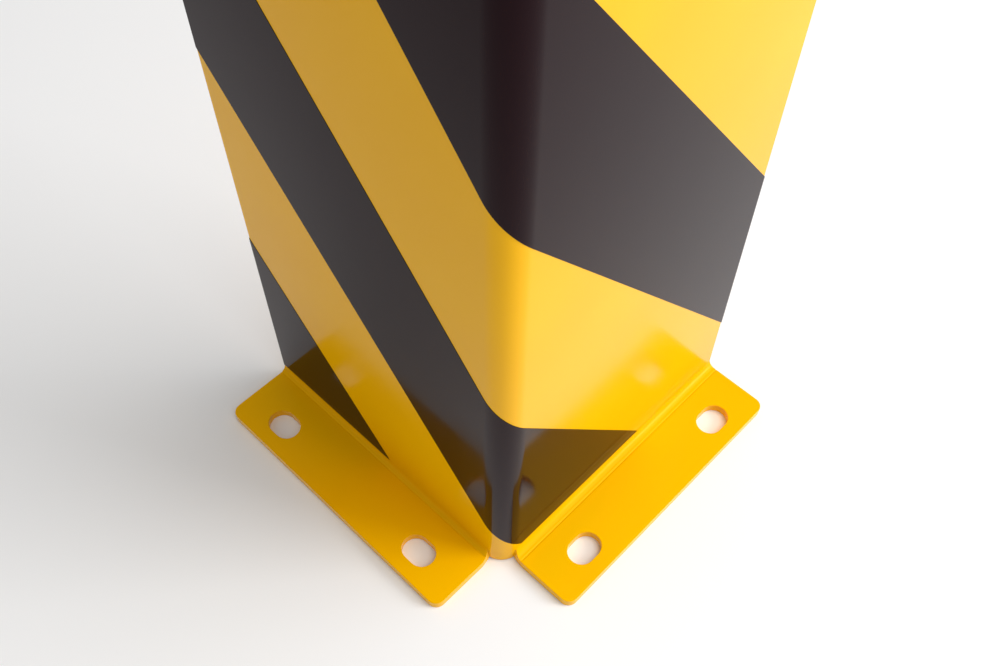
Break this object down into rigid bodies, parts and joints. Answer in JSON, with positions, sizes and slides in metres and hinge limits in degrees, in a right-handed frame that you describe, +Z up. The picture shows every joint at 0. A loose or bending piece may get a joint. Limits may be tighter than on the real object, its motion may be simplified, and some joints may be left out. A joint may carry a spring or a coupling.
{
  "type": "corner impact guard",
  "caption": "L-shaped folded steel impact guard for a rack upright or wall corner, with slotted feet turned outwards and slanting hazard stripes.",
  "frame": {"origin": "middle of the box's bottom face, on the plane of the feet's undersides", "axes": "+Z up along the corner; the front wall faces -Y, the side wall faces +X, and the protecting corner points to +X -Y"},
  "size_m": [0.1966, 0.1966, 0.4],
  "materials": {
    "yellow_powder_coat": "gloss powder coat on folded steel sheet",
    "black_film": "gloss self-adhesive vinyl film"
  },
  "bodies": {
    "root": {"corner_guard": "yellow_powder_coat", "film_strip_1": "black_film", "film_strip_2": "black_film", "film_strip_3": "black_film", "film_strip_4": "black_film"}
  },
  "joints": []
}
